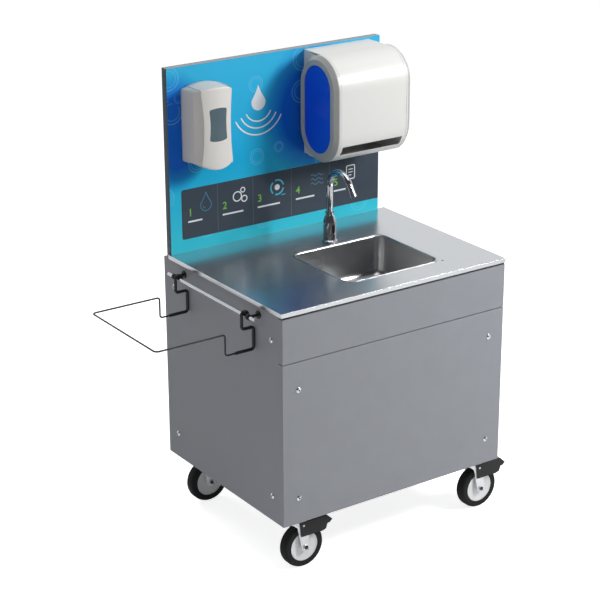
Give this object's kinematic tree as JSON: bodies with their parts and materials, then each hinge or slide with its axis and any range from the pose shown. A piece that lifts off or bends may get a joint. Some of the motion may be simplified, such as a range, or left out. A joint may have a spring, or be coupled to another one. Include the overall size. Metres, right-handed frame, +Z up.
{
  "type": "mobile handwashing station",
  "caption": "Panelled cabinet on swivel casters with an inset sink, a gooseneck faucet, a backboard with soap and paper towel dispensers, and a hook-on bag ring.",
  "frame": {"origin": "on the floor, at the middle of the bounding box in X and Y", "axes": "+Z up, -Y out of the front panel towards the user, +X to the user's right, away from the bag ring"},
  "size_m": [1.1296, 0.6168, 1.3365],
  "materials": {
    "base_steel": "satin",
    "frame_steel": "satin",
    "panel_board": "satin laminate",
    "hardware_steel": "zinc plated",
    "screw_chrome": "polished",
    "worktop_steel": "brushed",
    "core_board": "raw board",
    "bowl_steel": "brushed",
    "drain_chrome": "polished",
    "strainer_steel": "satin",
    "pipe_plastic": "matt",
    "faucet_chrome": "polished",
    "aerator_steel": "satin",
    "sensor_window": "gloss",
    "shelf_steel": "galvanised",
    "fresh_plastic": "natural polyethylene",
    "waste_plastic": "natural polyethylene",
    "cap_plastic": "satin",
    "pump_plastic": "matt",
    "pack_plastic": "matt",
    "hose_rubber": "matt",
    "backer_sheet": "matt",
    "printed_sheet": "satin print",
    "soap_back": "matt",
    "soap_shell": "satin",
    "smoked_window": "gloss",
    "refill_plastic": "soft film",
    "towel_body": "satin",
    "towel_shell": "satin",
    "ring_plastic": "satin",
    "lens_plastic": "gloss",
    "paper": "paper",
    "roller_rubber": "matt",
    "bar_chrome": "satin",
    "standoff_plastic": "matt",
    "wire_metal": "satin",
    "sleeve_rubber": "matt",
    "zinc_steel": "zinc plated",
    "hub_plastic": "satin",
    "tyre_rubber": "matt",
    "pedal_plastic": "matt"
  },
  "bodies": {
    "station": {"base_plate": "base_steel", "frame_posts": "frame_steel", "frame_rails": "frame_steel", "left_panel": "panel_board", "right_panel": "panel_board", "front_panel": "panel_board", "apron_panel": "panel_board", "hinge_leaves": "hardware_steel", "panel_screws": "screw_chrome", "hex_bolts": "hardware_steel", "worktop": "worktop_steel", "worktop_core": "core_board", "sink_bowl": "bowl_steel", "sink_drain": "drain_chrome", "drain_pipe": "pipe_plastic", "faucet_body": "faucet_chrome", "faucet_spout": "faucet_chrome", "aerator": "aerator_steel", "faucet_sensor": "sensor_window", "shelf": "shelf_steel", "fresh_tank": "fresh_plastic", "waste_tank": "waste_plastic", "fresh_cap": "cap_plastic", "pump": "pump_plastic", "power_pack": "pack_plastic", "water_hoses": "hose_rubber", "backer_board": "backer_sheet", "print_panel": "printed_sheet", "soap_base": "soap_back", "soap_refill": "refill_plastic", "towel_chassis": "towel_body", "towel_rings": "ring_plastic", "towel_lenses": "lens_plastic", "side_bar": "bar_chrome", "bar_standoffs": "standoff_plastic", "caster_plates": "zinc_steel"},
    "strainer": {"strainer": "strainer_steel"},
    "door": {"rear_door": "panel_board", "door_leaves": "hardware_steel"},
    "soap_lid": {"soap_cover": "soap_shell", "soap_window": "smoked_window"},
    "towel_lid": {"towel_cover": "towel_shell"},
    "paper_roll": {"towel_roll": "paper"},
    "feed": {"feed_roller": "roller_rubber"},
    "bag_holder": {"bag_ring": "wire_metal", "bag_sleeves": "sleeve_rubber"},
    "caster_front_left": {"fork_front_left": "zinc_steel"},
    "wheel_front_left": {"hub_front_left": "hub_plastic", "tyre_front_left": "tyre_rubber"},
    "caster_front_right": {"fork_front_right": "zinc_steel"},
    "wheel_front_right": {"hub_front_right": "hub_plastic", "tyre_front_right": "tyre_rubber"},
    "caster_rear_left": {"fork_rear_left": "zinc_steel"},
    "wheel_rear_left": {"hub_rear_left": "hub_plastic", "tyre_rear_left": "tyre_rubber"},
    "caster_rear_right": {"fork_rear_right": "zinc_steel"},
    "wheel_rear_right": {"hub_rear_right": "hub_plastic", "tyre_rear_right": "tyre_rubber"},
    "brake_left": {"pedal_left": "pedal_plastic"},
    "brake_right": {"pedal_right": "pedal_plastic"}
  },
  "joints": [
    {"name": "swivel_front_left", "type": "hinge", "parent": "station", "child": "caster_front_left", "pos_m": [-0.18975, -0.2509, 0.1515], "axis": [0, 0, 1], "continuous": true},
    {"name": "roll_front_left", "type": "hinge", "parent": "caster_front_left", "child": "wheel_front_left", "pos_m": [-0.16025, -0.2509, 0.0645], "axis": [0, 1, 0], "continuous": true},
    {"name": "swivel_front_right", "type": "hinge", "parent": "station", "child": "caster_front_right", "pos_m": [0.44525, -0.2509, 0.1515], "axis": [0, 0, 1], "continuous": true},
    {"name": "roll_front_right", "type": "hinge", "parent": "caster_front_right", "child": "wheel_front_right", "pos_m": [0.47475, -0.2509, 0.0645], "axis": [0, 1, 0], "continuous": true},
    {"name": "swivel_rear_left", "type": "hinge", "parent": "station", "child": "caster_rear_left", "pos_m": [-0.18975, 0.2471, 0.1515], "axis": [0, 0, 1], "continuous": true},
    {"name": "roll_rear_left", "type": "hinge", "parent": "caster_rear_left", "child": "wheel_rear_left", "pos_m": [-0.16025, 0.2471, 0.0645], "axis": [0, 1, 0], "continuous": true},
    {"name": "swivel_rear_right", "type": "hinge", "parent": "station", "child": "caster_rear_right", "pos_m": [0.44525, 0.2471, 0.1515], "axis": [0, 0, 1], "continuous": true},
    {"name": "roll_rear_right", "type": "hinge", "parent": "caster_rear_right", "child": "wheel_rear_right", "pos_m": [0.47475, 0.2471, 0.0645], "axis": [0, 1, 0], "continuous": true},
    {"name": "brake_press_left", "type": "hinge", "parent": "caster_front_left", "child": "brake_left", "pos_m": [-0.16775, -0.2509, 0.1335], "axis": [0, 1, 0], "range_deg": [0, 11]},
    {"name": "brake_press_right", "type": "hinge", "parent": "caster_front_right", "child": "brake_right", "pos_m": [0.46725, -0.2509, 0.1335], "axis": [0, 1, 0], "range_deg": [0, 11]},
    {"name": "bag_tilt", "type": "hinge", "parent": "station", "child": "bag_holder", "pos_m": [-0.28625, -0.0009, 0.7575], "axis": [0, 1, 0], "range_deg": [0, 90]},
    {"name": "soap_lid_hinge", "type": "hinge", "parent": "station", "child": "soap_lid", "pos_m": [-0.14175, 0.2471, 1.0675], "axis": [1, 0, 0], "range_deg": [0, 80]},
    {"name": "towel_lid_hinge", "type": "hinge", "parent": "station", "child": "towel_lid", "pos_m": [0.32575, 0.2471, 1.0235], "axis": [1, 0, 0], "range_deg": [0, 75]},
    {"name": "roll_spin", "type": "hinge", "parent": "station", "child": "paper_roll", "pos_m": [0.32575, 0.1681, 1.2055], "axis": [1, 0, 0], "continuous": true},
    {"name": "feed_spin", "type": "hinge", "parent": "station", "child": "feed", "pos_m": [0.32575, 0.1131, 1.0905], "axis": [1, 0, 0], "continuous": true},
    {"name": "door_hinge", "type": "hinge", "parent": "station", "child": "door", "pos_m": [-0.2355, 0.3049, 0.4655], "axis": [0, 0, 1], "range_deg": [0, 110]},
    {"name": "strainer_lift", "type": "slide", "parent": "station", "child": "strainer", "axis": [0, 0, 1], "range_m": [0, 0.04]}
  ],
  "couplings": [
    {"joint": "feed_spin", "follows": "roll_spin", "ratio": 6.25}
  ]
}
